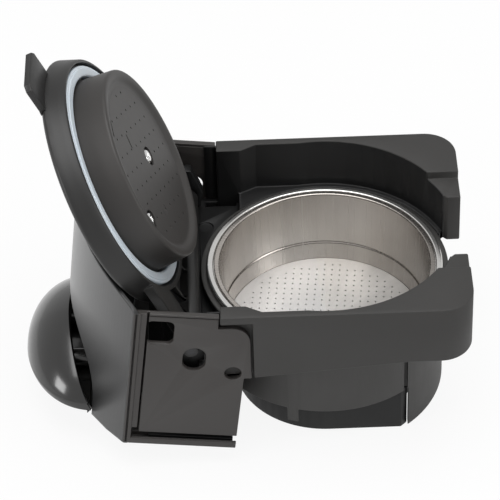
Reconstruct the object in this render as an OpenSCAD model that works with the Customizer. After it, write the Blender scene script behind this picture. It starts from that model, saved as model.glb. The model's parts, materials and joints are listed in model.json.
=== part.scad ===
// Pull-out brewing unit for soft coffee pods: front cover with a dome grip,
// U-shaped carriage, pod holder with a lift-out filter basket, and a hinged lid
// that carries the brewing piston and its seal. The lid is drawn open.
// Working frame: origin at the centre of the basket's rim, +X to the rear, +Z up.

/* [Filter basket] */
// Outer radius of the steel rim
rim_r = 41; // [39:0.5:43]
// Radius of the groove between the rim ring and the basket
groove_r = 38.6; // [38:0.1:39]
// Inner radius at the basket's mouth
mouth_r = 36.6; // [36:0.1:37]
// Inner radius at the step in the basket wall
step_r = 35.6; // [35:0.1:36]
// Inner radius at the basket floor
floor_r = 34.5; // [33:0.5:35]
// Depth of the step below the rim
step_depth = 21.1; // [18:0.5:24]
// Depth of the floor below the rim
basket_depth = 28.8; // [26:0.4:29.2]
// Thickness of the sheet steel
sheet_t = 0.8; // [0.6:0.1:1]
// Height of the rolled rim
rim_h = 1.8; // [1.4:0.2:2.2]

/* [Pod holder] */
// Outer radius of the holder cup
holder_r = 41.5; // [40:0.5:42]
// Wall of the holder cup
holder_wall = 2.2; // [1.8:0.2:2.4]
// Depth of the cup's underside below the rim
holder_depth = 32.4; // [32:0.4:36]
// Height of the basket rim above the surface that the unit stands on
rest_h = 50; // [46:1:56]
// Radius of the round front of the holder base
base_r = 32.2; // [28:0.5:34]
// Distance from the basket axis to the holder base's rear face
base_rear = 27; // [24:1:30]
// Wall of the holder base
base_wall = 2.4; // [2:0.2:3]

/* [Carriage] */
// Width over the arms
carriage_w = 94.8; // [94:0.4:100]
// Height of the arms' top above the basket rim
arm_top = 17.5; // [15:0.5:20]
// Distance from the basket axis to the rear end
carriage_rear = 48.2; // [47.6:0.2:54]
// Distance from the basket axis to the arms' front ends
carriage_front = 36.5; // [34:0.5:38]
// Radius of the rear corners in plan
corner_r = 11; // [8:1:14]
// Thickness of an arm beside the lid
arm_wall = 3; // [2.4:0.2:3.4]
// Radius of the lid's well at the rear
well_r = 45; // [44.6:0.2:45.6]
// Gap between the arms' rear ends
rear_gap = 30; // [26:1:34]
// Half width over which the arms' rear ends are stepped down
rear_step = 25.4; // [22:0.4:30]
// Depth of the step in the arms' rear ends
rear_step_depth = 3.2; // [2:0.4:5]

/* [Front assembly] */
// Tilt of the front assembly against the carriage
front_tilt = 6.8; // [5:0.2:8]
// Step in from the carriage's side to the front frame's side
side_step = 0.3; // [0.1:0.1:0.7]
// Thickness of the frame's and the plates' walls
side_wall = 2.4; // [2:0.2:2.6]
// Radius of the curved fascia
fascia_r = 64; // [60:0.5:72]
// Thickness of the fascia
fascia_t = 2; // [1.6:0.2:2.4]
// Rise of the fascia's arched top edge
fascia_rise = 10.8; // [8:0.4:12]
// Width of the dome grip
grip_w = 66.6; // [60:0.6:72]
// Reach of the dome grip in front of its centre
grip_reach = 22; // [18:1:26]
// Height of the dome grip
grip_h = 25.7; // [22:0.5:28]
// Wall of the dome grip
grip_wall = 2; // [1.6:0.2:2.6]

/* [Lid] */
// Distance from the basket axis to the lid's hinge axis
hinge_x = 46.85; // [46.5:0.05:47.5]
// Angle through which the lid opens
open_angle = 115.1; // [100:1:115]
// Radius of the lid's front lip
lip_r = 41.5; // [41:0.1:42]
// Radius of the lid at its back edge
lid_r = 43.8; // [43:0.1:43.9]
// Height of the lid's band
band_h = 7.5; // [6:0.5:8]
// Height of the crowned back above the band
crown_h = 3.6; // [2:0.4:4]
// Free space beside the lid's hinge tongue
tongue_gap = 1.1; // [0.5:0.1:3]
// Width of the lid tab
tab_w = 20.6; // [18:0.2:25]
// Reach of the tab from the lid's axis
tab_reach = 53.4; // [50:0.2:56]
// Radius of the hinge pin
pin_r = 1.5; // [1.2:0.1:1.8]

/* [Brewing piston] */
// Radius of the piston at its face
piston_r = 33.6; // [31:0.2:34]
// Depth of the piston's face below the seal's face
piston_depth = 10.6; // [8:0.2:12]
// Outer radius of the seal ring
seal_r = 39.35; // [38.6:0.05:39.6]
// Width of the seal ring
seal_w = 4.1; // [3.5:0.1:4.5]
// Thickness of the seal ring
seal_t = 2.6; // [2:0.2:3]

/* [Hidden] */
$fn = 96;

// Clearances
lid_gap = 0.3;
fit_gap = 0.02;
pin_gap = 0.05;
seam_gap = 0.4;
big = 200;

// Heights in the working frame
seat_z = -rim_h;
flange_t = 1.4;
ledge_z = seat_z - 0.2;
flange_r = rim_r + 2;
deck_z = -6.5;
deck_t = 2.5;
bracket_t = 3.4;
floor_z = -rest_h;

// Carriage
half_w = carriage_w / 2;
well_y = half_w - arm_wall;
throat_y = well_y - 3.1;
throat_x = -28;
well_front = -22.5;
well_rear = 7;
ledge_front = -29;
end_chamfer = 1.7;
front_w = carriage_w - 2 * side_step;
notch_y = front_w / 2 - side_wall;
notch_top = 14.4;
arm_bottom_front = -9.8;
arm_bottom_rear = -5.1;
arm_level = 22;
arm_outer_front = -25.8;

// Front assembly, in its own tilted frame
front_y = front_w / 2;
inner_y = front_y - side_wall;
plate_out_y = front_y - 0.5;
front_x = -66.77;
fascia_cx = front_x + sqrt(fascia_r * fascia_r - front_y * front_y);
frame_foot = -46.4;
frame_top = 13;
border_w = 2.6;
bar_w = 5.2;
plate_left = front_x + bar_w;
plate_foot = frame_foot + bar_w;
plate_top = 11.8;
flange_rear = -38.5;
plate_rear = -27.9;
lobe_front = -42;
lobe_rear = -26.7;
lobe_top = 12;
lobe_r = 6.3;
lobe_foot = -10.7;
plate_step = 10.7;
foot_gap = 2.3;
foot_lip = 0.8;
notch_rise = 2;
side_seam = 0.7;
arch_rim = 1.1;
arch_w = grip_w + 2 * arch_rim;
arch_h = grip_h + 0.3;
arch_set = 4.4;
arch_z = frame_foot + arch_set;
grip_lift = 1.1;
grip_z = frame_foot + grip_lift;
grip_set = 8.44;
grip_x = fascia_cx - fascia_r + grip_set;
rim_low = 1;
rim_high = 10.2;
recess_depth = 13;
recess_t = 1.6;
bar_gap = 0.3;
cross_bar = 6;
cross_x = max(front_x + border_w, grip_x + recess_depth + recess_t + bar_gap);
boss_y = 11;
boss_rise = 4.6;
boss_z = grip_z + boss_rise;
boss_r = 3.2;
screw_r = 1.3;

cover_t = 2.2;
rib_set = 3.2;
rib_front = (cross_x + cross_bar) * cos(front_tilt) + frame_foot * sin(front_tilt) + rib_set;
rib_len = 8;
rib_y = [12, 28];
post_r = 3.6;
cover_screw_x = 52;
cover_screw_y = 33;
cover_head_z = -39.4;
head_r = 2.6;
head_h = 1.6;

// Basket
ring_ledge = 0.65;
seat_gap = 0.05;

// Lid
tongue_t = 3.6;
barrel_r = 3.2;
lid_lip = 1.2;
pocket_y = 27;
pocket_depth = 2.4;
tongue_ribs = [5, 20];
rib_t = 1.6;
bore_r = 2;
inlet_depth = 5;
spigot_r = 3.5;
spigot_sink = 2;
hub_r = 8;
collar_r = 6;
collar_t = 1;
bead_r = spigot_r + 0.6;
bead_t = 0.6;
seal_room = 1.2;
face_round = 2;
carrier_t = 2.6;
lid_wall = 2.2;
tab_t = 2.2;
tab_raise = 0.9;
tab_cut = 2.6;
dish_r = piston_r - 2.6;
dish_depth = 0.9;
piston_top_r = piston_r + 0.9;
screw_well_r = 3.4;
piston_screw_pts = [[0, 4.1], [-2.3, -26.7]];

// Overall placing: the box's centre is over the origin and the unit stands at z = 0
grip_front = (grip_x - grip_reach) * cos(front_tilt) + grip_z * sin(front_tilt);
mid_x = (grip_front + carriage_rear) / 2;

module placed() translate([-mid_x, 0, rest_h]) children();
module tilted() rotate([0, front_tilt, 0]) children();
module both_sides() for (m = [0, 1]) mirror([0, m, 0]) children();
module at_hinge() translate([-hinge_x, 0, 0]) rotate([-90, 0, 0]) children();

// Parts of the lid are drawn closed, with z = 0 at the seal's face, and swung open
module lid_open()
    translate([-hinge_x, 0, 0]) rotate([0, -open_angle, 0])
        translate([hinge_x, 0, lid_gap]) children();

// An outline in X and Z carried along Y between two distances
module along_y(y0, y1) translate([0, y1, 0]) rotate([90, 0, 0]) linear_extrude(y1 - y0) children();

function ellipse_arc(rx, ry, a0, a1, n) =
    [for (i = [0:n]) let (a = a0 + (a1 - a0) * i / n) [rx * cos(a), ry * sin(a)]];

// ---------------------------------------------------------------- carriage

module carriage_side()
    polygon([[-carriage_front, arm_top], [carriage_rear, arm_top],
        [carriage_rear, arm_bottom_rear], [carriage_rear - arm_level, arm_bottom_rear - 0.1],
        [arm_outer_front, arm_bottom_front], [-carriage_front, arm_bottom_front - 0.8]]);

module carriage_plan(inset = 0) {
    r = corner_r - inset;
    h = half_w - inset;
    x1 = carriage_rear - inset;
    translate([-carriage_front, -h]) square([x1 - r + carriage_front, 2 * h]);
    translate([0, r - h]) square([x1, 2 * (h - r)]);
    for (s = [-1, 1]) translate([x1 - r, s * (h - r)]) circle(r);
}

module well_plan() {
    circle(well_r);
    polygon([[well_rear, -well_y], [well_rear, well_y], [well_front, well_y],
        [throat_x, throat_y], [-big, throat_y], [-big, -throat_y],
        [throat_x, -throat_y], [well_front, -well_y]]);
}

// Room for the side plate's lobe in an arm's outer face
module lobe_room() translate([-big, notch_y, -big]) cube([big + arm_outer_front, big, big + notch_top]);

module carriage() color("#464543") placed() difference() {
    union() {
        carriage_arms();
        // bridge between the arms, under the deck
        translate([deck_front, -inner_y + fit_gap, bracket_z])
            cube([ledge_front - deck_front, 2 * (inner_y - fit_gap), bracket_t]);
    }
    translate([0, 0, -big / 2]) cylinder(r = holder_r + 0.3, h = big);
}

module carriage_arms() difference() {
    intersection() {
        along_y(-half_w, half_w) carriage_side();
        translate([0, 0, -rest_h]) linear_extrude(2 * rest_h) carriage_plan();
    }
    translate([0, 0, ledge_z]) linear_extrude(big) well_plan();
    translate([0, 0, seat_z - flange_t]) cylinder(r = flange_r + 0.2, h = big);
    translate([ledge_front - big, -throat_y, -big / 2]) cube([big, 2 * throat_y, big]);
    translate([0, -rear_gap / 2, -big / 2]) cube([big, rear_gap, big]);
    translate([0, -rear_step, arm_top - rear_step_depth]) cube([big, 2 * rear_step, big]);
    both_sides() lobe_room();
    // upright chamfer at the well's corner
    both_sides() translate([sqrt(pow(well_r, 2) - pow(rear_gap / 2, 2)), rear_gap / 2, -big / 2])
        rotate(45) translate([-end_chamfer / 2, -end_chamfer / 2]) cube([end_chamfer, end_chamfer, big]);
    // hollow rear corners, open below
    translate([0, 0, -big]) linear_extrude(big + arm_top - rear_step_depth - arm_wall) difference() {
        intersection() {
            carriage_plan(arm_wall);
            for (s = [-1, 1]) translate([0, s * (big / 2 + rear_gap / 2 + arm_wall)])
                square([big, big], center = true);
        }
        circle(well_r + arm_wall);
        translate([-big, -big]) square([big + well_rear, 2 * big]);
    }
}

// ---------------------------------------------------------------- deck and hinge carrier

deck_front = -44.4;
lip_h = 1.2;
slot_x = [-40.9, -29.1];
slot_y = 1.5;
dimple = [-41, 28.5];
dimple_r = 2.6;
dimple_depth = 0.6;

module deck() color("#4a4948") placed() difference() {
    union() {
        translate([deck_front, -throat_y, deck_z - deck_t])
            cube([ledge_front - deck_front, 2 * throat_y, deck_t]);
        translate([deck_front, -inner_y, deck_z - deck_t])
            cube([-carriage_front - deck_front, 2 * inner_y, deck_t]);
        translate([deck_front, -throat_y, deck_z - deck_t])
            cube([lip_h, 2 * throat_y, deck_t + lip_h]);
    }
    translate([0, 0, -big / 2]) cylinder(r = holder_r + 0.3, h = big);
    both_sides() translate([slot_x[0], throat_y - slot_y, -big / 2])
        cube([slot_x[1] - slot_x[0] - 0.8, slot_y + 1, big]);
    both_sides() translate([dimple[0], dimple[1], deck_z - dimple_depth]) cylinder(r = dimple_r, h = big);
}

bush_len = 5.1;
bush_recess = 1;
cheek_t = 3.9;
cheek_y = inner_y - bush_recess - bush_len;
cheek_r = 5.2;
bush_r = 2.45;
cheek_h = 11;
cheek_top = 2.4;
cheek_rear = -42.5;
bracket_front = -57;
bracket_z = deck_z - deck_t - bracket_t;

module hinge_bracket() color("#343434") placed() difference() {
    union() {
        translate([bracket_front, -inner_y, bracket_z])
            cube([deck_front - fit_gap - bracket_front, 2 * inner_y, bracket_t]);
        both_sides() {
            along_y(cheek_y, cheek_y + cheek_t) {
                translate([-hinge_x, 0]) circle(cheek_r);
                polygon([[-hinge_x - cheek_r, bracket_z], [-hinge_x - cheek_r, 2],
                    [-hinge_x - cheek_top / 2, cheek_h], [-hinge_x + cheek_top / 2, cheek_h],
                    [cheek_rear, 3.4], [cheek_rear, deck_z + lip_h + fit_gap],
                    [deck_front - fit_gap, deck_z + lip_h + fit_gap], [deck_front - fit_gap, bracket_z]]);
                translate([-hinge_x - cheek_r, bracket_z])
                    square([cheek_r + hinge_x + deck_front - fit_gap, -bracket_z]);
            }
        }
    }
    translate([0, -big / 2, 0]) at_hinge() cylinder(r = bush_r + fit_gap, h = big);
    cover_screw_axes() cylinder(r = screw_r + fit_gap, h = big, center = true);
}

module hinge_bushes() color("#9a9a98") placed() both_sides()
    translate([0, cheek_y, 0]) at_hinge() difference() {
        cylinder(r = bush_r, h = bush_len);
        translate([0, 0, -1]) cylinder(r = pin_r + fit_gap, h = big);
    }

module hinge_pin() color("#b5b5b3") placed()
    translate([0, -cheek_y - bush_len, 0]) at_hinge() cylinder(r = pin_r, h = 2 * (cheek_y + bush_len));

// ---------------------------------------------------------------- front frame, plates and fascia

guide_hole = [-31.8, -12.05];
guide_r = 2.9;
oval_hole = [-45.3, -6.6];
oval_size = [7.8, 10.2];
latch_set = 9.17;
latch_hole = [front_x + latch_set, 4.7];
latch_size = [9.4, 10];

module oval(size) rounded(size, size[0] / 2);

module rounded(size, r) {
    square([max(0.1, size[0] - 2 * r), size[1]], center = true);
    square([size[0], size[1] - 2 * r], center = true);
    for (a = [-1, 1], b = [-1, 1])
        translate([a * (size[0] / 2 - r), b * (size[1] / 2 - r)]) circle(r);
}

module plate_outline() difference() {
    union() {
        translate([plate_left, plate_foot]) square([plate_rear - plate_left, -plate_foot - plate_step]);
        translate([plate_left, plate_foot]) square([flange_rear - plate_left, plate_top - plate_foot]);
        rotate(front_tilt) lobe_outline();
    }
    translate(oval_hole) oval(oval_size);
    translate(guide_hole) circle(guide_r);
    translate(latch_hole) rounded(latch_size, 2.2);
}

// The plate's rear lobe stands upright beside the carriage's arm
module lobe_outline() {
    translate([lobe_front, lobe_foot]) square([lobe_rear - lobe_r - lobe_front, lobe_top - lobe_foot]);
    translate([lobe_front, lobe_foot]) square([lobe_rear - lobe_front, lobe_top - lobe_r - lobe_foot]);
    translate([lobe_rear - lobe_r, lobe_top - lobe_r]) circle(lobe_r);
}

module side_plate() tilted() along_y(inner_y, plate_out_y) plate_outline();

module right_side_plate() color("#4d4846") placed() mirror([0, 1, 0]) side_plate();
module left_side_plate() color("#4d4846") placed() side_plate();

module frame_outline() difference() {
    translate([front_x, frame_foot]) square([plate_rear - front_x, frame_top - frame_foot]);
    translate([plate_left - side_seam, plate_foot - foot_gap])
        square([big, plate_top + seam_gap - plate_foot + foot_gap]);
    translate([front_x + border_w, plate_foot - foot_gap]) square([bar_w, foot_gap + notch_rise]);
    translate([flange_rear, plate_foot]) square(big);
    translate(latch_hole) rounded(latch_size, 2.2);
}

module front_frame() color("#4d4846") placed() tilted() difference() {
    union() {
        both_sides() along_y(inner_y, front_y) frame_outline();
        translate([cross_x, -inner_y, frame_foot]) cube([cross_bar, 2 * inner_y, border_w]);
    }
    // shallow step inside the frame's outer border
    both_sides() along_y(front_y - 0.3, big)
        translate([front_x + border_w, frame_foot + border_w]) square(big);
    // groove behind the foot's lip, and the seam beside the plate run out at the top
    both_sides() along_y(inner_y - 1, front_y - foot_lip) translate([cross_x, frame_foot + foot_lip])
        square([plate_rear - cross_x + 1, plate_foot - frame_foot]);
    both_sides() along_y(front_y - 2 * foot_lip, big) translate([plate_left - side_seam, frame_top - 3])
        square([side_seam, big]);
}

arch_power = 2.6;
lip_relief = 0.7;
lip_drop = 1.2;

function arch_rise(y) = pow(max(0, 1 - pow(y / front_y, 2)), 0.6);

module fascia_top_outline()
    polygon(concat([[-front_y, frame_foot - 2], [-front_y, frame_top]],
        [for (i = [1:47]) let (y = front_y * (i - 24) / 24) [y, frame_top + fascia_rise * arch_rise(y)]],
        [[front_y, frame_top], [front_y, frame_foot - 2]]));

// Upper half of an oval that is a little squarer than an ellipse
function arch_arc(rx, ry, n) =
    [for (i = [0:n]) let (a = 180 * i / n, c = cos(a), s = sin(a))
        [rx * sign(c) * pow(abs(c), 2 / arch_power), ry * pow(abs(s), 2 / arch_power)]];

// Outline of the scoop in the fascia, in Y and Z
module scoop_outline(grow = 0)
    translate([0, arch_z]) {
        polygon(arch_arc(arch_w / 2 + grow, arch_h + grow, 40));
        translate([-arch_w / 2 - grow, -arch_h]) square([arch_w + 2 * grow, arch_h + 0.01]);
    }

// An outline in Y and Z carried along X
module along_x(x0, x1) translate([x0, 0, 0]) rotate([90, 0, 90]) linear_extrude(x1 - x0) children();

// The fascia's wall inside its arched outline, lowered by a drop
module fascia_wall(inner_r, drop) intersection() {
    translate([fascia_cx, 0, frame_foot]) difference() {
        cylinder(r = fascia_r, h = big, $fn = 180);
        translate([0, 0, -1]) cylinder(r = inner_r, h = big + 2, $fn = 180);
    }
    along_x(fascia_cx - big, front_x) translate([0, -drop]) fascia_top_outline();
}

// The top edge is thinner on the inside, where the open lid comes close
module fascia() color("#2b2b2b") placed() tilted() difference() {
    union() {
        fascia_wall(fascia_r - fascia_t, lip_drop);
        fascia_wall(fascia_r - fascia_t + lip_relief, 0);
    }
    along_x(fascia_cx - big, front_x) scoop_outline();
}

// The recess behind the dome: an arched bay with a back wall curved in plan
bay_r = (pow(recess_depth, 2) + pow(arch_w / 2, 2)) / (2 * recess_depth);
bay_x = grip_x + recess_depth - bay_r;

// Distance of the bay's back wall from the axis of its curve, at a half width
function bay_reach(r, y) = bay_x + sqrt(r * r - y * y);

pad_r = 3.9;
pad_front = bay_reach(bay_r, boss_y + pad_r) - 0.2;
pad_back = bay_reach(bay_r + recess_t, boss_y - pad_r) + 0.2;

module bay(grow) intersection() {
    along_x(grip_x - big, bay_x + bay_r + big) scoop_outline(grow);
    translate([bay_x, 0, frame_foot - big / 2]) cylinder(r = bay_r + grow, h = big, $fn = 180);
}

module grip_recess() color("#323232") placed() tilted() difference() {
    union() {
        difference() {
            intersection() {
                bay(recess_t);
                translate([-big, -big / 2, frame_foot]) cube([big, big, big]);
                union() {
                    translate([fascia_cx, 0, frame_foot])
                        cylinder(r = fascia_r - fascia_t, h = big, $fn = 180);
                    translate([front_x, -big / 2, frame_foot]) cube(big);
                }
            }
            bay(0);
        }
        grip_screw_axes() translate([0, 0, pad_front - grip_x])
            cylinder(r = pad_r, h = pad_back - pad_front);
    }
    grip_screw_axes() cylinder(r = screw_r + fit_gap, h = big, center = true);
}

module grip_solid(inset)
    scale([grip_reach - inset, grip_w / 2 - inset, grip_h - inset]) sphere(1, $fn = 72);

// Everything in front of the dome's open rear edge, a plane that leans forward
module grip_front_side() {
    rise = grip_h * sqrt(1 - pow(rim_high / grip_reach, 2));
    lean = (rim_low + rim_high) / rise;
    translate([grip_x, -big / 2, grip_z]) rotate([90, 0, 0]) mirror([0, 0, 1])
        linear_extrude(big) polygon([[rim_low, 0], [-big, 0], [-big, big], [rim_low - lean * big, big]]);
}

module grip_screw_axes() for (s = [-1, 1])
    translate([grip_x, s * boss_y, boss_z]) rotate([0, 90, 0]) children();

module dome_grip() color("#3a3938") placed() tilted() difference() {
    union() {
        intersection() {
            translate([grip_x, 0, grip_z]) difference() {
                grip_solid(0);
                // hollow above a floor
                intersection() {
                    grip_solid(grip_wall);
                    translate([-big / 2, -big / 2, grip_wall]) cube(big);
                }
            }
            grip_front_side();
        }
        // two bosses that stand on the recess
        intersection() {
            grip_screw_axes() translate([0, 0, -grip_reach])
                cylinder(r = boss_r, h = grip_reach + pad_front - grip_x, $fn = 32);
            union() {
                translate([grip_x, 0, grip_z]) grip_solid(grip_wall / 2);
                translate([grip_x, -big / 2, grip_z]) cube(big);
            }
        }
    }
    grip_screw_axes() translate([0, 0, -4]) cylinder(r = screw_r, h = big);
}

module bottom_cover() color("#3c3a39") placed() difference() {
    union() {
        tilted() translate([cross_x + cross_bar, -inner_y, frame_foot])
            cube([plate_rear - 1 - cross_x - cross_bar, 2 * inner_y, cover_t]);
        // two stand ribs, level with the holder's underside
        intersection() {
            both_sides() translate([rib_front, rib_y[0], floor_z])
                cube([rib_len, rib_y[1] - rib_y[0], rest_h]);
            tilted() translate([-big, -big / 2, frame_foot + cover_t / 2 - big]) cube([2 * big, big, big]);
        }
        // two posts under the hinge bracket
        intersection() {
            cover_screw_axes() translate([0, 0, bracket_z - big]) cylinder(r = post_r, h = big);
            tilted() translate([-big, -big / 2, frame_foot]) cube([2 * big, big, big]);
        }
    }
    translate([0, 0, -big / 2]) cylinder(r = base_r + 0.8, h = big);
    translate([0, -base_r - 0.8, -big / 2]) cube([big, 2 * base_r + 1.6, big]);
    cover_screw_axes() cylinder(r = screw_r + fit_gap, h = big, center = true);
    cover_screw_axes() translate([0, 0, cover_head_z - big]) cylinder(r = head_r + 0.3, h = big);
}

module cover_screw_axes() for (s = [-1, 1]) translate([-cover_screw_x, s * cover_screw_y, 0]) children();

// A pan-head screw: its shank runs up from z = 0 and its head hangs below
module screw(len) {
    cylinder(r = screw_r, h = len, $fn = 32);
    translate([0, 0, -head_h]) cylinder(r = head_r, h = head_h, $fn = 32);
}

module cover_screws() color("#8d8d8b") placed() cover_screw_axes()
    translate([0, 0, cover_head_z]) screw(bracket_z + 2 - cover_head_z);

module grip_screws() color("#8d8d8b") placed() tilted()
    for (s = [-1, 1]) translate([pad_back, s * boss_y, boss_z])
        rotate([0, -90, 0]) screw(pad_back - grip_x + 3);

// ---------------------------------------------------------------- pod holder and basket

outlet_r = 5;
spout_in = 3;
spout_taper = 0.6;
spout_wall = 1.6;
spout_flange = 10;
spout_rise = 3;
holder_in = holder_r - holder_wall;
holder_floor = -holder_depth + holder_wall;
gasket_in = holder_in + 0.4;
gasket_out = gasket_in + 1.3;
lug_x = -12.9;
lug_w = 3.7;
lug_drop = 5.8;
holder_bite = 1.4;

module pod_holder() color("#424140") placed() difference() {
    union() {
        rotate_extrude() polygon([[outlet_r + fit_gap, -holder_depth], [holder_r, -holder_depth],
            [holder_r, seat_z - flange_t], [flange_r, seat_z - flange_t], [flange_r, seat_z],
            [gasket_out, seat_z], [gasket_out, seat_z - 1], [gasket_in, seat_z - 1],
            [gasket_in, seat_z], [holder_in, seat_z], [holder_in, holder_floor],
            [outlet_r + fit_gap, holder_floor]]);
        // the wall runs on down at the rear, behind the base, and in two lugs
        intersection() {
            translate([0, 0, floor_z]) difference() {
                cylinder(r = holder_r, h = rest_h - holder_depth + 1);
                translate([0, 0, -1]) cylinder(r = holder_in, h = big);
            }
            union() {
                translate([base_rear + 0.3, -big / 2, -big]) cube(big);
                both_sides() translate([lug_x - lug_w / 2, 0, -holder_depth - lug_drop])
                    cube([lug_w, big, lug_drop + 1]);
            }
        }
    }
    // upright groove in front of the rear apron
    both_sides() translate([base_rear - 1.2, sqrt(pow(holder_r, 2) - pow(base_rear, 2)) - 1.2, -big])
        cube([1.3, big, big + seat_z - flange_t - 4]);
    holder_screw_axes() translate([0, 0, -big]) cylinder(r = screw_r + fit_gap, h = big - holder_depth + holder_bite + 0.2);
}

module holder_screw_axes() for (a = [60, 180, 300]) rotate(a) translate([19, 0, 0]) children();

module base_outline(inset) {
    circle(base_r - inset);
    difference() {
        translate([0, -base_r + inset]) square([base_rear - inset, 2 * (base_r - inset)]);
        for (s = [-1, 1]) translate([base_rear - inset, s * (base_r - inset)]) rotate(45)
            square(3, center = true);
    }
}

module holder_base() color("#323130") placed() difference() {
    translate([0, 0, floor_z]) linear_extrude(rest_h - holder_depth) base_outline(0);
    translate([0, 0, floor_z - 1]) linear_extrude(rest_h - holder_depth - base_wall + 1)
        base_outline(base_wall);
    translate([0, 0, -big / 2]) cylinder(r = outlet_r + fit_gap, h = big);
    holder_screw_axes() cylinder(r = screw_r + fit_gap, h = big, center = true);
}

module outlet_spout() color("#323130") placed() rotate_extrude() {
    top = holder_floor;
    shelf = -holder_depth - base_wall;
    polygon([[spout_in + spout_taper, top], [outlet_r, top], [outlet_r, shelf], [spout_flange, shelf],
        [spout_flange, shelf - spout_wall], [outlet_r + spout_wall, shelf - spout_wall],
        [spout_in + spout_wall, floor_z + spout_rise], [spout_in, floor_z + spout_rise],
        [spout_in, shelf - 2 * spout_wall]]);
}

module holder_gasket() color("#1f1f1f") placed() translate([0, 0, seat_z - 1]) difference() {
    cylinder(r = gasket_out, h = 0.95);
    translate([0, 0, -1]) cylinder(r = gasket_in, h = 3);
}

module holder_screws() color("#8d8d8b") placed() holder_screw_axes()
    translate([0, 0, -holder_depth - base_wall]) screw(base_wall + holder_bite);

function arc(cx, cy, r, a0, a1, n = 6) =
    [for (i = [0:n]) let (a = a0 + (a1 - a0) * i / n) [cx + r * cos(a), cy + r * sin(a)]];

module filter_basket() color("#b9b7b2") placed() rotate_extrude() {
    rim_out = groove_r - 0.12;
    under = seat_z + ring_ledge + seat_gap;
    polygon(concat(arc(mouth_r + 0.6, -0.6, 0.6, 180, 90), arc(rim_out - 0.6, -0.6, 0.6, 90, 0),
        [[rim_out, under], [mouth_r + sheet_t, under], [step_r + sheet_t, -step_depth],
        [step_r + sheet_t - 0.5, -step_depth - 0.6], [floor_r + sheet_t, -basket_depth - sheet_t],
        [floor_r - 3.5, -basket_depth - sheet_t], [floor_r - 3.5, -basket_depth],
        [floor_r, -basket_depth], [step_r - 0.5, -step_depth - 0.6], [step_r, -step_depth]]));
}

module rim_ring() color("#c4c2be") placed() rotate_extrude() {
    ring_in = groove_r + 0.12;
    foot = seat_z + seat_gap;
    polygon(concat([[mouth_r + sheet_t + 0.1, foot], [rim_r - 0.5, foot]],
        arc(rim_r - 0.9, -0.9, 0.9, 0, 90), arc(ring_in + 0.6, -0.6, 0.6, 90, 180),
        [[ring_in, foot + ring_ledge], [mouth_r + sheet_t + 0.1, foot + ring_ledge]]));
}

module strainer() color("#c9c7c3") placed() translate([0, 0, -basket_depth])
    cylinder(r = floor_r - 0.1, h = 0.5);

// ---------------------------------------------------------------- lid, drawn closed

tongue_w = 2 * (cheek_y - tongue_gap);
cover_in = lip_r - lid_lip;
crown_r = lid_r - 1.4;
crown_flat = 9;
crown_z = band_h + crown_h;

// Height of the crowned back at a radius
function crown(r) = r < crown_flat ? crown_z
    : crown_z - (crown_h - 0.8) * pow((r - crown_flat) / (crown_r - crown_flat), 2);

lid_edge = [[lip_r - 0.4, 0], [lip_r, 0.4], [lid_r, band_h - 0.6], [lid_r - 0.5, band_h + 0.2]];
lid_crown = [for (i = [0:8]) let (r = crown_r - (crown_r - crown_flat) * i / 8) [r, crown(r)]];
lid_inside = [for (i = [0:8]) let (r = crown_flat + (cover_in - crown_flat) * i / 8)
    [r, crown(r) - lid_wall]];

module lid_envelope() rotate_extrude()
    polygon(concat([[0, 0]], lid_edge, lid_crown, [[0, crown_z]]));

module tongue_pockets() difference() {
    translate([-hinge_x + barrel_r - 0.6, -pocket_y, -1]) cube([hinge_x, 2 * pocket_y, 1 + pocket_depth]);
    cylinder(r = lip_r + 0.7, h = big, center = true);
    for (y = [-tongue_ribs[1], -tongue_ribs[0], tongue_ribs[0], tongue_ribs[1]])
        translate([-hinge_x, y - rib_t / 2, -big / 2]) cube([hinge_x, rib_t, big]);
}

module lid_cover() color("#3a3a39") placed() lid_open() difference() {
    union() {
        lid_envelope();
        translate([-hinge_x, -tongue_w / 2, 0]) cube([hinge_x - 20, tongue_w, tongue_t]);
        translate([0, -tongue_w / 2, -lid_gap]) at_hinge() cylinder(r = barrel_r, h = tongue_w);
    }
    rotate_extrude() polygon(concat([[0, -10], [cover_in, -10]],
        [for (i = [8:-1:0]) lid_inside[i]], [[0, crown_z - lid_wall]]));
    cylinder(r = spigot_r + fit_gap, h = big);
    tongue_pockets();
    translate([0, -big / 2, -lid_gap]) at_hinge() cylinder(r = pin_r + pin_gap, h = big);
}

module lid_carrier() color("#2c2c2c") placed() lid_open() rotate_extrude()
    polygon([[bore_r, seal_t], [cover_in - fit_gap, seal_t], [cover_in - fit_gap, seal_t + carrier_t],
        [hub_r, seal_t + carrier_t], [hub_r, crown_z - lid_wall], [spigot_r + fit_gap, crown_z - lid_wall],
        [spigot_r + fit_gap, crown_z - lid_wall - spigot_sink],
        [bore_r, crown_z - lid_wall - spigot_sink]]);

module inlet_spigot() color("#2c2c2c") placed() lid_open() rotate_extrude() {
    foot = crown_z - lid_wall - spigot_sink;
    land = crown_z + collar_t;
    polygon([[bore_r, foot], [spigot_r, foot], [spigot_r, crown_z], [collar_r, crown_z], [collar_r, land],
        [bead_r, land], [bead_r, land + bead_t], [spigot_r, land + bead_t],
        [spigot_r, land + bead_t + seal_room], [bead_r, land + bead_t + seal_room],
        [bead_r, land + 2 * bead_t + seal_room], [bore_r, land + 2 * bead_t + seal_room]]);
}

module inlet_seal() color("#1f1f1f") placed() lid_open()
    translate([0, 0, crown_z + collar_t + bead_t + seal_room / 2]) rotate_extrude()
        translate([bead_r, 0]) circle(seal_room / 2 - fit_gap, $fn = 32);

module lid_tab() color("#3a3a39") placed() lid_open() difference() {
    translate([0, 0, band_h + tab_raise - tab_t]) linear_extrude(tab_t) difference() {
        translate([0, -tab_w / 2]) square([tab_reach, tab_w]);
        for (s = [-1, 1]) translate([tab_reach, s * tab_w / 2]) rotate(45) square(tab_cut, center = true);
    }
    lid_envelope();
}

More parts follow.
